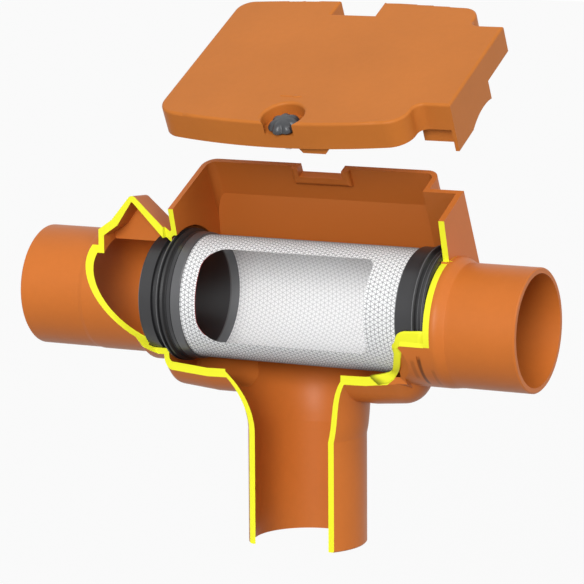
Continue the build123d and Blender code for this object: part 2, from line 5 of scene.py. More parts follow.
import bpy
import numpy as np
from bpy.props import FloatProperty, FloatVectorProperty, IntProperty, PointerProperty
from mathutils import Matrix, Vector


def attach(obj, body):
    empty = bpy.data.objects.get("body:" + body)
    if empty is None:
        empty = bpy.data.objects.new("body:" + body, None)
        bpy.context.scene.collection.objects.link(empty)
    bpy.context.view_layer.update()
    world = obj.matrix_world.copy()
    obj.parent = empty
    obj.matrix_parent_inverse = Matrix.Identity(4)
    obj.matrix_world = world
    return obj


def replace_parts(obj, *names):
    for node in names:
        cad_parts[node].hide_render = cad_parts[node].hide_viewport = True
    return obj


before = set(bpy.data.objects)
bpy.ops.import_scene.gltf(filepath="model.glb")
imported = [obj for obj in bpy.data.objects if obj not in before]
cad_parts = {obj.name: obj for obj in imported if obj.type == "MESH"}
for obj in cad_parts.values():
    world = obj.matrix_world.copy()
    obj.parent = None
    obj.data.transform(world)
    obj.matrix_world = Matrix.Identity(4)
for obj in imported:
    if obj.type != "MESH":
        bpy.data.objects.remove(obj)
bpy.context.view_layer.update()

bl_info = {
    "name": "Rainwater tank filter",
    "version": (1, 0, 0),
    "blender": (4, 5, 0),
    "location": "View3D > Sidebar > Tank filter",
    "description": "Plastic, steel screen, rings and knob of a cutaway rainwater tank filter",
    "category": "Object",
}

MM = 0.001

# directions of the leaning lid: along X, up its slope, and square to it
TILT = math.radians(27.0)
SLOPE = np.array([0.0, math.cos(TILT), math.sin(TILT)])
SQUARE = np.array([0.0, -math.sin(TILT), math.cos(TILT)])
# centre of the leaning frame once the lid is lifted, in millimetres
LID_CENTRE = np.array([264.0, 77.5, 132.0])
LID_TOP = 94.0

# faces of the section: the way each faces, and a point on it in millimetres
CUT_TURN = math.radians(1.7)
CUT_FACES = (
    ((0, -1, 0), (0, -33, 0)),
    ((1, -0.7, 0.7), (119, 0, 0)),
    ((math.sin(CUT_TURN), -math.cos(CUT_TURN), -0.3), (264, -6, 0)),
    ((0, 0, 1), (0, 0, 49)),
    ((1, 0, 0), (138, 0, 0)),
    ((0, -1, 0.12), (0, -57.2, -7)),
    ((0, 0, 1), (0, 0, -7)),
    ((-0.377, -0.772, -0.512), (374, -51.2, -27)),
    ((-0.492, -0.861, 0.116), (375.4, -53.8, -21)),
)
# on the two bevels beside the collar the paint ends at these limits of X less a share of Z
BEVELS = (7, 8)
BEVEL_LIMITS = ((0.485, 398.6), (0.776, 409.3))
# the main cut has limits of the same kind, above this Z
MAIN_CUT = 0
MAIN_LIMITS = ((0.71, 407.4), (1.19, 434.2))
MAIN_LOW = -64.0
# a face counts as cut within this distance, and when it faces this much the same way
CUT_NEAR = 0.12
CUT_SAME = 0.96
# the cut rim of the collar: its outer and its inner edge, read on an enlarged crop of the
# photograph, as places across and down that crop in its own pixels
RIM_OUTER = (
    (338, 505), (300, 505), (262, 505), (240, 505), (224, 509), (210, 518), (202, 534), (198, 555),
    (196, 580), (195, 620), (194, 660), (191, 684), (180, 694), (160, 701), (130, 707), (90, 713))
RIM_INNER = (
    (338, 580), (300, 580), (262, 579), (247, 578), (240, 580), (235, 584), (231, 590), (229, 602),
    (228, 620), (227, 645), (226, 668), (222, 686), (213, 704), (200, 722), (180, 738), (130, 750))
# where the crop starts on the photograph, the size of its pixels there, and the photograph's width
CROP_CORNER = (350.0, 220.0)
CROP_PIXEL = 0.2208
PHOTO_WIDTH = 584
# the rim lies on a round of this radius and axis height, and from its foot on, a place down the
# crop, or wherever the round is further back, in a plane at this Y
RIM_RADIUS = 60.2
RIM_AXIS = -4.0
RIM_FRONT = -33.7
RIM_FOOT = 690
# its section: share of the way across, and share of its depth in millimetres
RIM_SECTION = np.array((
    (0, 0), (0, 0.6), (0.04, 0.9), (0.12, 1), (0.88, 1), (0.96, 0.9), (1, 0.6), (1, 0)))
RIM_DEPTH = 2.2
# painted shade in the collar's seating slot and in the soft dents beside it: middle and half width in
# X, highest and lowest Z, strength
COLLAR_SHADE_MARKS = (
    (400.5, 1.5, -29.8, -59.0, 0.85),
    (394.0, 1.8, -33.0, -53.0, 0.3),
    (411.5, 1.5, -41.0, -60.0, 0.25),
)
# the marks fade at these shares of their half width and of their height, in front of this Y
MARK_SIDES = (0.6, 1.4)
MARK_ENDS = (0.38, 0.52)
COLLAR_FRONT = -28.0
# the end wall is cut along the round of the collar: radius, its axis height, then X and lowest Z,
# with how near a face lies to it and how much it looks outwards
ROUND_CUT = (60.0, -9.0, 406.8, 412.7, -20.6)
ROUND_NEAR = 0.25
ROUND_SAME = 0.8
# where the inside's shade fades: axis, two places in metres and the mask at each
INSIDE_FADES = (
    (0, 0.128, 0.142, 0.0, 1.0),
    (0, 0.405, 0.409, 1.0, 0.0),
    (2, -0.085, -0.055, 0.0, 1.0),
)

# drum, in millimetres: radius, ends of the wires, and the window's X, angles and corner rounds
DRUM_RADIUS = 55.5
WIRES_X = (167.4, 378.8)
WINDOW_X = (182.0, 348.5)
WINDOW_ANGLES = (-37, 60)
WINDOW_ROUNDS = (19.0, 9.0)
# a wire stops this far from the window
WINDOW_CLEAR = 0.6
# a wire's section: its ridge above the drum, and its foot's half width and depth under it
WIRE_RIDGE = 0.28
WIRE_HALF = 0.24
WIRE_FOOT = 0.06
WIRE_POINTS = 150
WIRE_TURN_POINTS = 241
WIRE_GREY = (0.33, 0.335, 0.345)
# bare edge of the window, and the red mark on its left side between two X in metres
EDGE_GREY = (0.42, 0.42, 0.43, 1.0)
EDGE_RED = (0.42, 0.018, 0.022, 1.0)
RED_X = (0.175, 0.2)

# painted light, paler than the rings: a lit band on the inlet ring's bevel between two X in
# metres, and painted highlights along the ridges of the seals
RING_BEVEL_LIGHT_X = (0.1625, 0.172)
RING_BEVEL_LIGHT_GREY = (0.12, 0.122, 0.126, 1.0)
SEAL_HIGHLIGHTS = (145.4, 148.6, 396.6, 400.4, 404.0)
SEAL_HIGHLIGHT_GREY = (0.13, 0.13, 0.135, 1.0)
NUT_GREY = (0.62, 0.62, 0.64)

# on the lid, in its own directions: foot of the arrow, and axis of the knob
ARROW_AT = (-12.5, -62.5)
ARROW_HEIGHT = 0.55
KNOB_AT = (4.5, -96.0)
LOBE_DEPTH = 0.17
LOBE_SINK = 1.5

# stage: floor's half side in metres, its colour, the share of plain white seen in it, then where
# each light shines from and how wide it spreads in radians
FLOOR_HALF = 9.0
FLOOR_GREY = (0.29, 0.29, 0.29, 1.0)
FLOOR_WHITE = 0.94
FRONT_LIGHT = (0.22, -0.93, 0.30)
RIGHT_LIGHT = (0.88, -0.22, 0.52)
FRONT_SPREAD = 0.45
RIGHT_SPREAD = 0.5
# camera: turn, rise and roll in degrees, lens and sensor in millimetres, and place in metres
CAMERA_ANGLES = (26.80, 9.23, -0.32)
CAMERA_LENS = 199.64
SENSOR_WIDTH = 36.0
CAMERA_PLACE = (1.5434, -2.5578, 0.4744)


# materials

class Finish:
    """Node tree of one material, with short calls for its nodes."""

    def __init__(self, name, roughness=0.5, metallic=0.0, specular=0.5):
        self.material = bpy.data.materials.new(name)
        self.material.use_nodes = True
        tree = self.material.node_tree
        self.nodes, self.links = tree.nodes, tree.links
        self.nodes.clear()
        self.shader = self.nodes.new("ShaderNodeBsdfPrincipled")
        for socket, value in (("Roughness", roughness), ("Metallic", metallic),
                              ("Specular IOR Level", specular)):
            self.shader.inputs[socket].default_value = value
        end = self.nodes.new("ShaderNodeOutputMaterial")
        self.links.new(self.shader.outputs[0], end.inputs["Surface"])
        where = self.nodes.new("ShaderNodeTexCoord")
        self.place, self.facing = where.outputs["Object"], where.outputs["Normal"]

    def fill(self, socket, value):
        """Links another node's output, or sets a plain value."""
        if isinstance(value, bpy.types.NodeSocket):
            self.links.new(value, socket)
        else:
            socket.default_value = value

    def node(self, kind, values, out=0, **settings):
        """A new node with its settings and inputs; gives one of its outputs."""
        made = self.nodes.new(kind)
        for key, value in settings.items():
            setattr(made, key, value)
        for key, value in values.items():
            self.fill(made.inputs[key], value)
        return made.outputs[out]

    def maths(self, operation, a, b=0.0):
        """One sum or test on one or two values."""
        return self.node("ShaderNodeMath", {0: a, 1: b}, operation=operation)

    def dot(self, a, direction):
        """How far a vector reaches along a direction."""
        return self.node("ShaderNodeVectorMath", {0: a, 1: direction}, out="Value",
                         operation="DOT_PRODUCT")

    def axis(self, index):
        """X, Y or Z of the place, in metres."""
        return self.node("ShaderNodeSeparateXYZ", {0: self.place}, out=index)

    def between(self, value, low, high):
        """1 where a value lies between two others."""
        return self.maths("MULTIPLY", self.maths("GREATER_THAN", value, low),
                          self.maths("LESS_THAN", value, high))

    def off(self, value, middle):
        """Distance of a value from another, never negative."""
        return self.maths("ABSOLUTE", self.maths("SUBTRACT", value, middle))

    def noise(self, scale, detail=2.0, roughness=0.5):
        """Clouds on the piece's own place, from 0 to 1."""
        return self.node("ShaderNodeTexNoise", {
            "Vector": self.place, "Scale": scale, "Detail": detail, "Roughness": roughness},
            out="Fac")

    def spread(self, value, low, high, to_low, to_high, smooth=False):
        """A value between low and high, spread from one level to another and held beyond."""
        return self.node("ShaderNodeMapRange", {
            "Value": value, "From Min": low, "From Max": high, "To Min": to_low,
            "To Max": to_high}, out="Result",
            interpolation_type="SMOOTHSTEP" if smooth else "LINEAR")

    def mix(self, factor, one, other):
        """One colour at a factor of 0 and the other at 1."""
        made = self.nodes.new("ShaderNodeMix")
        made.data_type = "RGBA"
        self.fill(made.inputs["Factor"], factor)
        self.fill(made.inputs[6], one)
        self.fill(made.inputs[7], other)
        return made.outputs[2]

    def bump(self, height, distance, strength=1.0, under=None):
        """Small relief on the surface, on top of another where one is given."""
        values = {"Height": height, "Distance": distance, "Strength": strength}
        if under is not None:
            values["Normal"] = under
        return self.node("ShaderNodeBump", values)

    def set(self, socket, value):
        """Sets or links an input of the material's shader."""
        self.fill(self.shader.inputs[socket], value)


def colour(value):
    """A colour of three parts, made fully solid."""
    return (*value[:3], 1.0)


def shade(value, by):
    """The same colour, lighter or darker by a factor."""
    return (*[min(1.0, c * by) for c in value[:3]], 1.0)


def moulded(finish, base, spread=0.06, grain=1.0):
    """Moulded plastic: clouds of slightly lighter and darker colour, flow marks and a fine grain.
    Returns the colour before any section is painted over it."""
    clouds = finish.noise(9.0, 3.0)
    fine = finish.noise(160.0, 2.0)
    factor = finish.maths("ADD", finish.maths("MULTIPLY", clouds, 0.8),
                          finish.maths("MULTIPLY", fine, 0.2))
    cover = finish.mix(finish.spread(factor, 0.3, 0.7, 0.0, 1.0),
                       shade(base, 1.0 - spread), shade(base, 1.0 + spread))
    skin = finish.bump(finish.noise(26.0, 1.0), 0.4 * MM, 0.25 * grain)
    skin = finish.bump(finish.noise(1500.0, 2.0, 0.6), 0.03 * MM, 0.35 * grain, skin)
    finish.set("Normal", skin)
    return cover


def limited(finish, limits):
    """1 where X less a share of Z stays below every limit."""
    inside = 1.0
    for share, most in limits:
        reach = finish.dot(finish.place, (1, 0, -share))
        inside = finish.maths("MULTIPLY", inside, finish.maths("LESS_THAN", reach, most * MM))
    return inside


def section_mask(finish):
    """1 on a face of the section: near a cut and facing its way, within the paint's limits."""
    total = 0.0
    bevels = limited(finish, BEVEL_LIMITS)
    main = finish.maths("MAXIMUM", limited(finish, MAIN_LIMITS),
                        finish.maths("LESS_THAN", finish.axis(2), MAIN_LOW * MM))
    for index, (direction, point) in enumerate(CUT_FACES):
        way = np.array(direction) / np.linalg.norm(direction)
        away = finish.off(finish.dot(finish.place, way), float(way @ point) * MM)
        near = finish.maths("LESS_THAN", away, CUT_NEAR * MM)
        same = finish.maths("GREATER_THAN", finish.dot(finish.facing, way), CUT_SAME)
        both = finish.maths("MULTIPLY", near, same)
        if index in BEVELS:
            both = finish.maths("MULTIPLY", both, bevels)
        if index == MAIN_CUT:
            both = finish.maths("MULTIPLY", both, main)
        total = finish.maths("MAXIMUM", total, both)
    return finish.maths("MAXIMUM", total, round_cut_mask(finish))


def round_cut_mask(finish):
    """1 on the end wall's round cut: near the collar's radius, within its reach and facing out."""
    radius, height, x_from, x_to, z_from = ROUND_CUT
    from_axis = finish.node("ShaderNodeVectorMath", {
        0: finish.node("ShaderNodeVectorMath", {0: finish.place, 1: (0, 0, height * MM)},
                       operation="SUBTRACT"), 1: (0, 1, 1)}, operation="MULTIPLY")
    length = finish.node("ShaderNodeVectorMath", {0: from_axis}, out="Value", operation="LENGTH")
    part = finish.maths("LESS_THAN", finish.off(length, radius * MM), ROUND_NEAR * MM)
    for test, axis, limit in (("GREATER_THAN", 0, x_from), ("LESS_THAN", 0, x_to),
                              ("GREATER_THAN", 2, z_from), ("LESS_THAN", 1, 0.0)):
        part = finish.maths("MULTIPLY", part, finish.maths(test, finish.axis(axis), limit * MM))
    outward = finish.node("ShaderNodeVectorMath", {
        0: finish.facing, 1: finish.node("ShaderNodeVectorMath", {0: from_axis},
                                         operation="NORMALIZE")}, out="Value",
        operation="DOT_PRODUCT")
    return finish.maths("MULTIPLY", part, finish.maths("GREATER_THAN", outward, ROUND_SAME))


def outwardness(finish):
    """How far a face looks away from the drum axis: 1 straight away, -1 straight at it."""
    across = finish.node("ShaderNodeVectorMath", {0: finish.place, 1: (0, 1, 1)},
                         operation="MULTIPLY")
    away = finish.node("ShaderNodeVectorMath", {0: across}, operation="NORMALIZE")
    return finish.node("ShaderNodeVectorMath", {0: finish.facing, 1: away}, out="Value",
                       operation="DOT_PRODUCT")


def inside_shade_mask(finish):
    """1 on the walls inside the box and round the drum, where painted shade darkens them, fading out
    to the pipes and the funnel.
    """
    mask = finish.spread(outwardness(finish), -0.15, 0.05, 1.0, 0.0)
    for index, low, high, start, end in INSIDE_FADES:
        fade = finish.spread(finish.axis(index), low, high, start, end)
        mask = finish.maths("MULTIPLY", mask, fade)
    return mask


def collar_shade_marks(finish):
    """Painted shade in the seating slot and in the soft dents beside it, on the collar's front."""
    total = 0.0
    front = finish.maths("LESS_THAN", finish.axis(1), COLLAR_FRONT * MM)
    for middle, half, top, low, strength in COLLAR_SHADE_MARKS:
        off = finish.off(finish.axis(0), middle * MM)
        wide = finish.spread(off, *(share * half * MM for share in MARK_SIDES), strength, 0.0)
        off = finish.off(finish.axis(2), (top + low) / 2 * MM)
        tall = finish.spread(off, *(share * (top - low) * MM for share in MARK_ENDS), 1.0, 0.0)
        total = finish.maths("MAXIMUM", total, finish.maths("MULTIPLY", wide, tall))
    return finish.maths("MULTIPLY", total, front)


def around(finish):
    """Angle about the drum axis from the front, with its seam at the back, in turns."""
    turn = finish.maths("ARCTAN2", finish.axis(2), finish.maths("MULTIPLY", finish.axis(1), -1.0))
    return finish.maths("DIVIDE", turn, 2.0 * math.pi)


def lattice(finish, along, turns, spacing, rows, width):
    """Three families of lines that meet in points, one round the drum and two slanting either way.
    Returns 1 on a line and 0 between, worked out from the distance to the nearest line."""
    straight = finish.maths("DIVIDE", along, spacing)
    half = finish.maths("MULTIPLY", straight, 0.5)
    lean = finish.maths("MULTIPLY", turns, float(rows))
    nearest = None
    for value in (straight, finish.maths("ADD", half, lean), finish.maths("SUBTRACT", half, lean)):
        off = finish.maths("PINGPONG", value, 0.5)
        nearest = off if nearest is None else finish.maths("MINIMUM", nearest, off)
    return finish.spread(nearest, width * 0.45, width * 1.25, 1.0, 0.0, smooth=True)


def paint(nodes, material):
    """Gives CAD nodes a material."""
    for name in nodes:
        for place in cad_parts[name].material_slots:
            place.material = material


# surfaces

def piece(name, corners, faces, material, body):
    """A smooth mesh from corners in metres and lists of faces, which rides on a body."""
    mesh = bpy.data.meshes.new(name)
    mesh.from_pydata(corners.tolist(), [], faces)
    mesh.validate()
    mesh.polygons.foreach_set("use_smooth", np.ones(len(mesh.polygons), bool))
    mesh.materials.append(material)
    made = bpy.data.objects.new(name, mesh)
    bpy.context.collection.objects.link(made)
    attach(made, body)
    return made


def surface(name, points, material, body):
    """A closed tube from a grid of points (rows u, columns v, xyz) in metres. Neighbouring points
    make four-sided faces, the last column joins the first, and a fan closes each end row."""
    rows, columns = points.shape[:2]
    grid = np.arange(rows * columns).reshape(rows, columns)
    wrapped = np.hstack([grid, grid[:, :1]])
    sides = np.stack([wrapped[:-1, :-1], wrapped[:-1, 1:], wrapped[1:, 1:], wrapped[1:, :-1]], -1)
    centres = np.full(columns, rows * columns)
    first = np.stack([grid[0], centres, wrapped[0, 1:]], 1)
    last = np.stack([wrapped[-1, 1:], centres + 1, grid[-1]], 1)
    corners = np.vstack([points.reshape(-1, 3), points[0].mean(0), points[-1].mean(0)])
    faces = sides.reshape(-1, 4).tolist() + first.tolist() + last.tolist()
    return piece(name, corners, faces, material, body)


def camera_axes():
    """The camera's right, up and back directions: turned from the front, raised above level, and
    rolled slightly."""
    turn, rise, roll = (math.radians(a) for a in CAMERA_ANGLES)
    back = np.array([math.sin(turn) * math.cos(rise), -math.cos(turn) * math.cos(rise),
                     math.sin(rise)])
    right = np.array([math.cos(turn), math.sin(turn), 0.0])
    up = np.cross(back, right)
    return (right * math.cos(roll) + up * math.sin(roll),
            up * math.cos(roll) - right * math.sin(roll), back)


def on_rim(spots):
    """Places in millimetres, to a tenth, of spots on the crop. The camera's ray through a spot
    meets the rim's round at the nearer root of a quadratic, and the rim's plane in one place."""
    right, up, back = camera_axes()
    spots = np.array(spots)
    share = (CROP_CORNER + spots * CROP_PIXEL) / PHOTO_WIDTH - 0.5
    rays = (share[:, :1] * right - share[:, 1:] * up) * SENSOR_WIDTH / CAMERA_LENS - back
    eye = np.array(CAMERA_PLACE) / MM
    away = eye[1:] - (0, RIM_AXIS)
    square, half = (rays[:, 1:] ** 2).sum(1), rays[:, 1:] @ away
    inside = half ** 2 - square * (away @ away - RIM_RADIUS ** 2)
    near = eye + ((-half - np.sqrt(np.maximum(inside, 0))) / square)[:, None] * rays
    flat = eye + ((RIM_FRONT - eye[1]) / rays[:, 1])[:, None] * rays
    on_round = (inside > 0) & (near[:, 1] < RIM_FRONT) & (spots[:, 1] < RIM_FOOT)
    return np.where(on_round[:, None], near, flat).round(1)


def on_lid(x, s, n):
    """Points of the lifted lid from its own directions, in metres."""
    along = np.array([1.0, 0.0, 0.0])
    return (LID_CENTRE + x[..., None] * along + s[..., None] * SLOPE + n[..., None] * SQUARE) * MM


# settings

class HousingLook(bpy.types.PropertyGroup):
    """Moulded housing and its section."""
    plastic: FloatVectorProperty(
        name="Plastic", description="Orange of the moulded housing", subtype="COLOR",
        default=(0.590, 0.163, 0.027), min=0, max=1)
    section: FloatVectorProperty(
        name="Section", description="Paint on the faces of the section", subtype="COLOR",
        default=(0.900, 0.900, 0.030), min=0, max=1)
    gloss: FloatProperty(
        name="Roughness", description="Roughness of the plastic", default=0.42, min=0.05, max=1)
    # painted shade: the walls inside the box keep this share of the plastic's lightness
    inside: FloatProperty(
        name="Inside", description="How much of its lightness the inside of the box keeps",
        default=0.72, min=0.1, max=1)


class ScreenLook(bpy.types.PropertyGroup):
    """Steel screen of the drum."""
    steel: FloatVectorProperty(
        name="Steel", description="Bright face of the screen", subtype="COLOR",
        default=(0.965, 0.97, 0.975), min=0, max=1)
    line: FloatVectorProperty(
        name="Line", description="Darker lines of the weave", subtype="COLOR",
        default=(0.27, 0.275, 0.285), min=0, max=1)
    spacing: FloatProperty(
        name="Spacing", description="Distance between two lines of one family", subtype="DISTANCE",
        default=0.0039, min=0.001, max=0.02)
    rows: IntProperty(
        name="Rows", description="Slanting lines round the drum", default=78, min=12, max=400)
    width: FloatProperty(
        name="Line width", description="Half a line's width, as a share of the spacing",
        default=0.075, min=0.02, max=0.4)
    inner_line: FloatProperty(
        name="Inner line", description="Strength of the lines inside the drum", default=0.5, min=0,
        max=1)


class RingLook(bpy.types.PropertyGroup):
    """End rings, seals and clamping band of the drum."""
    plastic: FloatVectorProperty(
        name="Ring", description="Plastic of the end rings", subtype="COLOR",
        default=(0.027, 0.027, 0.029), min=0, max=1)
    rubber: FloatVectorProperty(
        name="Seal", description="Rubber of the lip seals", subtype="COLOR",
        default=(0.018, 0.018, 0.019), min=0, max=1)
    band: FloatVectorProperty(
        name="Band", description="Grey of the clamping band", subtype="COLOR",
        default=(0.105, 0.106, 0.110), min=0, max=1)


class LidLook(bpy.types.PropertyGroup):
    """Lid, its gasket and the raised arrow."""
    plastic: FloatVectorProperty(
        name="Plastic", description="Orange of the lid", subtype="COLOR",
        default=(0.560, 0.175, 0.030), min=0, max=1)
    gasket: FloatVectorProperty(
        name="Gasket", description="Rubber of the lid gasket", subtype="COLOR",
        default=(0.020, 0.020, 0.021), min=0, max=1)
    arrow_length: FloatProperty(
        name="Arrow", description="Length of the raised flow arrow", subtype="DISTANCE",
        default=0.021, min=0.005, max=0.1)


class KnobLook(bpy.types.PropertyGroup):
    """Lobed knob, latch arm and nut."""
    plastic: FloatVectorProperty(
        name="Plastic", description="Dark plastic of the knob", subtype="COLOR",
        default=(0.045, 0.047, 0.052), min=0, max=1)
    lobes: IntProperty(name="Lobes", description="Lobes round the knob", default=7, min=3, max=16)
    radius: FloatProperty(
        name="Radius", description="Over the lobes", subtype="DISTANCE", default=0.0146, min=0.005,
        max=0.05)


class StageLook(bpy.types.PropertyGroup):
    """Floor, light and camera."""
    floor: FloatProperty(
        name="Floor", description="Height of the floor", subtype="DISTANCE", default=-0.42,
        min=-2, max=-0.22)
    key: FloatProperty(name="Key", description="Strength of the front light", default=2.3, min=0)
    side: FloatProperty(name="Side", description="Strength of the right light", default=0.8, min=0)
    fill: FloatProperty(name="Fill", description="Strength of the sky", default=0.43, min=0)


LOOKS = {"housing": HousingLook, "screen": ScreenLook, "ring": RingLook, "lid": LidLook,
         "knob": KnobLook, "stage": StageLook}


def look(name):
    """The settings of one group of pieces."""
    return getattr(bpy.context.scene, "tank_filter_" + name)


# operators

class MakeHousing(bpy.types.Operator):
    """Moulded orange housing with its painted section"""
    bl_idname = "tank_filter.housing"
    bl_label = "Housing"

    def execute(self, context):
        its = look("housing")
        finish = Finish("housing orange", roughness=its.gloss, specular=0.22)
        cover = moulded(finish, its.plastic)
        # painted shade: the walls inside the box are darkened in their colour
        cover = finish.mix(inside_shade_mask(finish), cover, shade(its.plastic, its.inside))
        # painted shade: the seating slot and the dents beside it on the collar's front are darkened
        # in their colour
        cover = finish.mix(collar_shade_marks(finish), cover, shade(its.plastic, 0.2))
        finish.set("Base Color", finish.mix(section_mask(finish), cover, colour(its.section)))
        paint(["housing"], finish.material)
        painted = Finish("section paint", roughness=its.gloss, specular=0.22)
        painted.set("Base Color", moulded(painted, its.section, 0.02, 0.4))
        self.rim(painted.material)
        return {"FINISHED"}

    def rim(self, material):
        """The cut rim of the collar: a band that runs over the end ring, turns down beside the drum
        and meets the cut of the chamber's floor. It has a section at each pair of edge points."""
        outer, inner = on_rim(RIM_OUTER)[:, None], on_rim(RIM_INNER)[:, None]
        across, height = RIM_SECTION[:, 0, None], RIM_SECTION[:, 1, None]
        out = (outer - (0, 0, RIM_AXIS)) * (0, 1, 1)
        out = out / np.linalg.norm(out, axis=-1, keepdims=True)
        points = outer + (inner - outer) * across + out * (height - 1) * RIM_DEPTH
        surface("collar_rim", points[::-1] * MM, material, "filter")


class MakeScreen(bpy.types.Operator):
    """Steel screen drum with its fine lattice"""
    bl_idname = "tank_filter.screen"
    bl_label = "Screen drum"

    def execute(self, context):
        its = look("screen")
        finish = Finish("screen steel", roughness=0.42, metallic=0.0, specular=0.3)
        turns = around(finish)
        line = lattice(finish, finish.axis(0), turns, its.spacing, its.rows, its.width)
        faint = finish.spread(outwardness(finish), -0.5, 0.5, its.inner_line, 1.0)
        line_share = finish.maths("MULTIPLY", line, faint)
        cover = finish.mix(line_share, colour(its.steel), colour(its.line))
        # the drum's wall shows bare at the cut of the window, with a red mark on its left side
        edge = finish.maths("LESS_THAN", finish.maths("ABSOLUTE", outwardness(finish)), 0.5)
        cover = finish.mix(edge, cover, EDGE_GREY)
        red = finish.maths("MULTIPLY", edge, finish.between(finish.axis(0), *RED_X))
        cover = finish.mix(red, cover, EDGE_RED)
        finish.set("Base Color", cover)
        finish.set("Normal", finish.bump(line, 0.25 * MM, 0.6))
        paint(["screen_tube"], finish.material)
        wire = Finish("screen wire", roughness=0.38, metallic=0.35, specular=0.4)
        wire.set("Base Color", moulded(wire, WIRE_GREY, 0.05, 0.2))
        pitch, rows = its.spacing / MM, its.rows
        start, end = WIRES_X
        along = np.linspace(start, end, WIRE_POINTS)
        for name, side in (("screen_wires_up", 1), ("screen_wires_down", -1)):
            turns = side * (np.arange(rows)[:, None] - along / (2 * pitch)) / rows
            self.wires(name, np.broadcast_to(along, turns.shape), turns, wire.material)
        across = np.arange(math.ceil(start / pitch), math.floor(end / pitch) + 1)[:, None] * pitch
        turns = np.linspace(-0.5, 0.5, WIRE_TURN_POINTS)
        self.wires("screen_wires_round", *np.broadcast_arrays(across, turns), wire.material)
        return {"FINISHED"}

    def window(self, x, turns):
        """How far a point lies outside the window, in millimetres: the distance to a rectangle on
        the unrolled drum, whose corners are rounded more on the left than on the right."""
        arc = 2 * math.pi * DRUM_RADIUS * ((turns + 0.5) % 1.0 - 0.5)
        low, high = (math.radians(a) * DRUM_RADIUS for a in WINDOW_ANGLES)
        left, right = WINDOW_X
        corner = np.where(x < (left + right) / 2, *WINDOW_ROUNDS)
        dx = np.abs(x - (left + right) / 2) - (right - left) / 2 + corner
        dy = np.abs(arc - (low + high) / 2) - (high - low) / 2 + corner
        outside = np.hypot(np.maximum(dx, 0), np.maximum(dy, 0))
        return outside + np.minimum(np.maximum(dx, dy), 0) - corner

    def wires(self, name, x, turns, material):
        """Thin wires on the outside of the drum. Each is a line of points given by X and turns, and
        carries a low three-sided section whose foot lies in the drum; it stops at the window."""
        keep = self.window(x, turns) > WINDOW_CLEAR
        angle = 2 * math.pi * turns
        radial = np.stack([0 * angle, -np.cos(angle), np.sin(angle)], -1)
        spine = np.stack([x, 0 * x, 0 * x], -1) + DRUM_RADIUS * radial
        side = np.cross(np.gradient(spine, axis=1), radial)
        side /= np.linalg.norm(side, axis=-1, keepdims=True)
        foot = spine - WIRE_FOOT * radial
        ring = np.stack([spine + WIRE_RIDGE * radial, foot - WIRE_HALF * side,
                         foot + WIRE_HALF * side], 2)
        corners, sides, ends, count = [], [], [], 0
        for line, kept in zip(ring, keep):
            edges = np.flatnonzero(np.diff(np.concatenate([[0], kept.astype(int), [0]])))
            for first, last in edges.reshape(-1, 2):
                if last - first < 3:  # too short to see
                    continue
                grid = count + np.arange((last - first) * 3).reshape(-1, 3)
                turn = np.roll(grid, -1, axis=1)
                around_run = np.stack([grid[:-1], grid[1:], turn[1:], turn[:-1]], -1)
                sides.append(around_run.reshape(-1, 4))
                ends += [grid[0].tolist(), grid[-1, ::-1].tolist()]
                corners.append(line[first:last].reshape(-1, 3))
                count += grid.size
        piece(name, np.concatenate(corners) * MM, np.concatenate(sides).tolist() + ends, material,
              "filter")


class MakeRings(bpy.types.Operator):
    """End rings, lip seals and clamping band"""
    bl_idname = "tank_filter.rings"
    bl_label = "Rings and seals"

    def execute(self, context):
        its = look("ring")
        finish = Finish("ring plastic", roughness=0.36, specular=0.5)
        cover = moulded(finish, its.plastic, 0.10, 0.6)
        # painted light: a paler grey band on the inlet ring's bevel
        bevel_light = finish.between(finish.axis(0), *RING_BEVEL_LIGHT_X)
        finish.set("Base Color", finish.mix(bevel_light, cover, RING_BEVEL_LIGHT_GREY))
        paint(["inlet_end_ring", "outlet_end_ring"], finish.material)
        finish = Finish("seal rubber", roughness=0.5, specular=0.45)
        cover = moulded(finish, its.rubber, 0.12, 0.8)
        # painted highlights: thin paler lines along the ridges of the seals
        for line in SEAL_HIGHLIGHTS:
            off = finish.off(finish.axis(0), line * MM)
            mark = finish.spread(off, 0.2 * MM, 0.6 * MM, 1.0, 0.0, smooth=True)
            cover = finish.mix(mark, cover, SEAL_HIGHLIGHT_GREY)
        finish.set("Base Color", cover)
        paint(["inlet_seal", "outlet_seal"], finish.material)
        finish = Finish("clamping band", roughness=0.34, metallic=0.25, specular=0.5)
        finish.set("Base Color", moulded(finish, its.band, 0.06, 0.4))
        paint(["screen_band"], finish.material)
        return {"FINISHED"}


class MakeLid(bpy.types.Operator):
    """Lid, gasket and the raised arrow on its top"""
    bl_idname = "tank_filter.lid"
    bl_label = "Lid"

    def execute(self, context):
        its = look("lid")
        finish = Finish("lid orange", roughness=0.42, specular=0.13)
        finish.set("Base Color", moulded(finish, its.plastic))
        paint(["lid"], finish.material)
        rubber = Finish("gasket rubber", roughness=0.6, specular=0.4)
        rubber.set("Base Color", moulded(rubber, its.gasket, 0.12, 0.8))
        paint(["lid_gasket", "knob_seal"], rubber.material)
        self.arrow(its, finish.material)
        return {"FINISHED"}

    def arrow(self, its, material):
        """A low arrow, as a closed tube of flat oval sections. Its half width is that of the shaft
        up to two thirds of its length, steps out there, and narrows in a line to the point."""
        length = its.arrow_length / MM
        u = np.array([0, 0.01, 0.04, 0.2, 0.4, 0.6, 0.655, 0.66, 0.68, 0.75, 0.82, 0.9, 0.97, 1.0])
        half = np.where(u < 0.657, 0.75, 2.5 * (1.03 - u) / 0.35)
        half = half * np.array([0.5, 0.8] + [1.0] * 12)
        v = np.linspace(0, 2 * math.pi, 16, endpoint=False)
        x = np.broadcast_to((ARROW_AT[0] + u * length)[:, None], (len(u), len(v)))
        s = ARROW_AT[1] + half[:, None] * np.cos(v)
        n = LID_TOP + (ARROW_HEIGHT * np.minimum(1.0, half / 0.5))[:, None] * np.sin(v)
        surface("lid_arrow", on_lid(x, s, n), material, "filter")


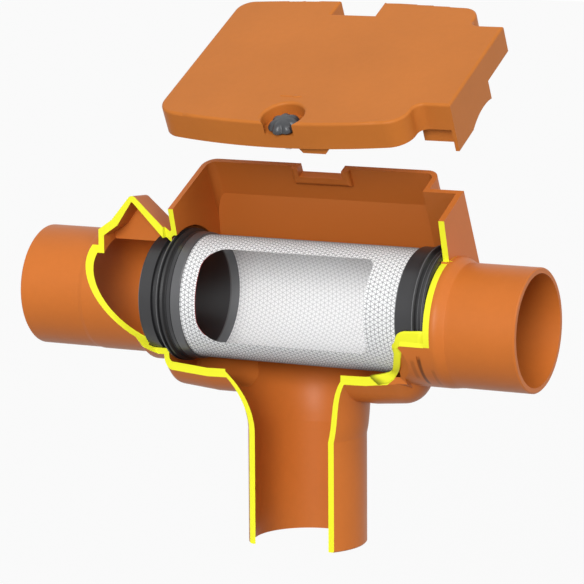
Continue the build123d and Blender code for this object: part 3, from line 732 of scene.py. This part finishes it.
class MakeKnob(bpy.types.Operator):
    """Lobed knob with softer edges than its solid, latch arm and nut"""
    bl_idname = "tank_filter.knob"
    bl_label = "Knob and latch"

    def execute(self, context):
        its = look("knob")
        finish = Finish("knob plastic", roughness=0.38, specular=0.55)
        finish.set("Base Color", moulded(finish, its.plastic, 0.10, 0.6))
        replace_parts(self.knob(its, finish.material), "lid_knob")
        paint(["latch_arm"], finish.material)
        steel = Finish("nut steel", roughness=0.3, metallic=1.0)
        steel.set("Base Color", moulded(steel, NUT_GREY, 0.05, 0.3))
        paint(["arm_nut"], steel.material)
        return {"FINISHED"}

    def knob(self, its, material):
        """A profile turned about the stem. Each row has a radius, a height and a share of the
        lobes: there the radius is drawn in and the top sinks between two lobes, by one less the
        size of the cosine of half the lobe angle."""
        wide = its.radius / MM
        rows = np.array([
            (2.6, 68.2, 0), (3.2, 68.5, 0), (3.2, 72.2, 0), (4.9, 72.3, 0), (5.0, 72.8, 0),
            (5.0, 83.5, 0), (5.2, 83.52, 0), (wide * 0.72, 83.5, 0.6), (wide * 0.93, 83.6, 1),
            (wide * 0.985, 84.1, 1), (wide, 85.2, 1), (wide * 0.985, 86.6, 1),
            (wide * 0.945, 88.0, 1), (wide * 0.87, 89.4, 0.95), (wide * 0.77, 90.7, 0.8),
            (wide * 0.65, 91.6, 0.55), (wide * 0.52, 92.1, 0.28), (wide * 0.38, 92.35, 0.08),
            (wide * 0.22, 92.45, 0), (wide * 0.08, 92.5, 0)])
        angle = np.linspace(0, 2 * math.pi, 16 * its.lobes, endpoint=False)
        dip = 1.0 - np.abs(np.cos(its.lobes * angle / 2))
        share = rows[:, 2][:, None]
        radius = rows[:, 0][:, None] * (1.0 - LOBE_DEPTH * share * dip)
        top = np.clip((rows[:, 1] - 84.5) / 4.0, 0, 1)[:, None]
        n = rows[:, 1][:, None] - LOBE_SINK * share * top * dip
        x = KNOB_AT[0] + radius * np.cos(angle)
        s = KNOB_AT[1] + radius * np.sin(angle)
        return surface("knob", on_lid(x, s, n), material, "knob")


class MakeStage(bpy.types.Operator):
    """Floor, soft light and the camera of the photograph"""
    bl_idname = "tank_filter.stage"
    bl_label = "Stage"

    def execute(self, context):
        its = look("stage")
        self.floor(its.floor)
        self.sky(its.fill)
        self.lamp("front light", FRONT_LIGHT, its.key, FRONT_SPREAD)
        self.lamp("right light", RIGHT_LIGHT, its.side, RIGHT_SPREAD)
        self.camera()
        bpy.context.scene.view_settings.view_transform = "Standard"
        return {"FINISHED"}

    def floor(self, height):
        """A square sheet, as a grid of two by two points. It takes the part's shadow, and looks
        white to the eye and in gloss."""
        reach = [-FLOOR_HALF, FLOOR_HALF]
        u, v = np.meshgrid(reach, reach, indexing="ij")
        points = np.stack([u, v, np.full_like(u, height)], -1)
        mesh = bpy.data.meshes.new("floor")
        mesh.from_pydata(points.reshape(-1, 3).tolist(), [], [(0, 2, 3, 1)])
        made = bpy.data.objects.new("floor", mesh)
        bpy.context.collection.objects.link(made)
        finish = Finish("pale floor", roughness=0.9, specular=0.1)
        finish.set("Base Color", FLOOR_GREY)
        glow = finish.node("ShaderNodeEmission", {"Color": (1, 1, 1, 1), "Strength": 1.0})
        path = finish.nodes.new("ShaderNodeLightPath").outputs
        seen = finish.maths("MAXIMUM", path["Is Camera Ray"], finish.maths(
            "MAXIMUM", path["Is Glossy Ray"], path["Is Transmission Ray"]))
        end = next(n for n in finish.nodes if n.type == "OUTPUT_MATERIAL")
        both = finish.node("ShaderNodeMixShader", {
            0: finish.maths("MULTIPLY", seen, FLOOR_WHITE), 1: finish.shader.outputs[0], 2: glow})
        finish.links.new(both, end.inputs["Surface"])
        mesh.materials.append(finish.material)

    def sky(self, strength):
        """White to the eye and in gloss, and a plain soft light on everything else."""
        world = bpy.data.worlds.new("white room")
        bpy.context.scene.world = world
        world.use_nodes = True
        nodes, links = world.node_tree.nodes, world.node_tree.links
        nodes.clear()
        path = nodes.new("ShaderNodeLightPath").outputs
        seen = None
        for name in ("Is Camera Ray", "Is Glossy Ray", "Is Transmission Ray"):
            if seen is None:
                seen = path[name]
                continue
            larger = nodes.new("ShaderNodeMath")
            larger.operation = "MAXIMUM"
            links.new(seen, larger.inputs[0])
            links.new(path[name], larger.inputs[1])
            seen = larger.outputs[0]
        level = nodes.new("ShaderNodeMapRange")
        level.inputs["To Min"].default_value = strength
        level.inputs["To Max"].default_value = 1.0
        links.new(seen, level.inputs["Value"])
        back = nodes.new("ShaderNodeBackground")
        back.inputs["Color"].default_value = (1, 1, 1, 1)
        links.new(level.outputs["Result"], back.inputs["Strength"])
        end = nodes.new("ShaderNodeOutputWorld")
        links.new(back.outputs[0], end.inputs["Surface"])

    def lamp(self, name, towards, strength, angle):
        """A wide far lamp that shines from a direction."""
        data = bpy.data.lights.new(name, "SUN")
        data.energy, data.angle = strength, angle
        made = bpy.data.objects.new(name, data)
        made.rotation_mode = "QUATERNION"
        made.rotation_quaternion = Vector(towards).to_track_quat("Z", "Y")
        bpy.context.collection.objects.link(made)

    def camera(self):
        """The photograph's camera."""
        data = bpy.data.cameras.new("camera")
        data.lens, data.sensor_width = CAMERA_LENS, SENSOR_WIDTH
        made = bpy.data.objects.new("camera", data)
        pose = np.eye(4)
        pose[:3, :3] = np.stack(camera_axes(), 1)
        pose[:3, 3] = CAMERA_PLACE
        made.matrix_world = Matrix(pose.tolist())
        bpy.context.collection.objects.link(made)
        bpy.context.scene.camera = made


OPERATORS = (MakeHousing, MakeScreen, MakeRings, MakeLid, MakeKnob, MakeStage)


class TankFilterPanel(bpy.types.Panel):
    """Lists the pieces of the tank filter and their settings"""
    bl_idname = "VIEW3D_PT_tank_filter"
    bl_label = "Tank filter"
    bl_space_type = "VIEW_3D"
    bl_region_type = "UI"
    bl_category = "Tank filter"

    def draw(self, context):
        for operator, name in zip(OPERATORS, LOOKS):
            box = self.layout.box()
            box.operator(operator.bl_idname)
            group = look(name)
            for prop in group.__annotations__:
                box.prop(group, prop)


def register():
    """Makes the classes known and hangs each group of settings on the scene."""
    for made in (*LOOKS.values(), *OPERATORS, TankFilterPanel):
        bpy.utils.register_class(made)
    for name, group in LOOKS.items():
        setattr(bpy.types.Scene, "tank_filter_" + name, PointerProperty(type=group))


def unregister():
    """Undoes register, in the opposite order."""
    for name in LOOKS:
        delattr(bpy.types.Scene, "tank_filter_" + name)
    for made in (TankFilterPanel, *reversed(OPERATORS), *reversed(LOOKS.values())):
        bpy.utils.unregister_class(made)


def main():
    """Makes every piece and the stage."""
    register()
    bpy.ops.tank_filter.housing()
    bpy.ops.tank_filter.screen()
    bpy.ops.tank_filter.rings()
    bpy.ops.tank_filter.lid()
    bpy.ops.tank_filter.knob()
    bpy.ops.tank_filter.stage()
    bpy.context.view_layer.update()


if __name__ == "__main__":
    main()
